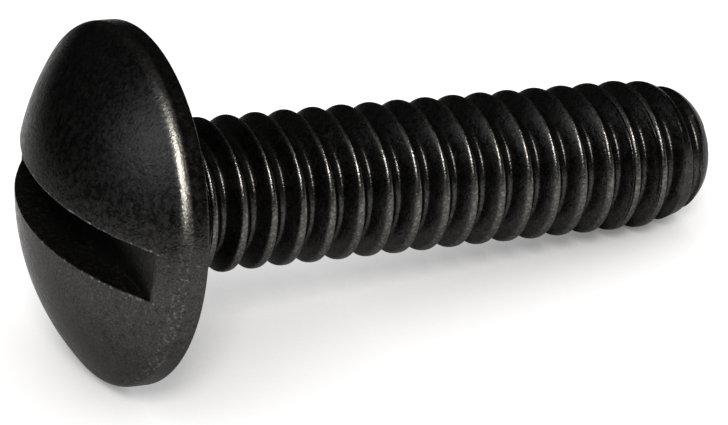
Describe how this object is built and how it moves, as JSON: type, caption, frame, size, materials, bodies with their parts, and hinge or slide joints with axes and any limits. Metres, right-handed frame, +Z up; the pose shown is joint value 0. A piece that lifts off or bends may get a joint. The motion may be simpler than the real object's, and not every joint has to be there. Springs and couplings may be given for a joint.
{
  "type": "machine screw",
  "caption": "Slotted truss-head machine screw in black steel, threaded along the whole shank up to the head.",
  "frame": {"origin": "bottom centre of the bounding box of the screw as it lies at rest on its rim and its last full crest", "axes": "+X along the lying screw from the head to the tip, seen from above, +Z up, +Y across"},
  "size_m": [0.0291, 0.014, 0.014],
  "materials": {
    "black_steel": "black oxide on steel, satin, with a fine grain and worn high spots"
  },
  "bodies": {
    "root": {"screw": "black_steel"}
  },
  "joints": []
}
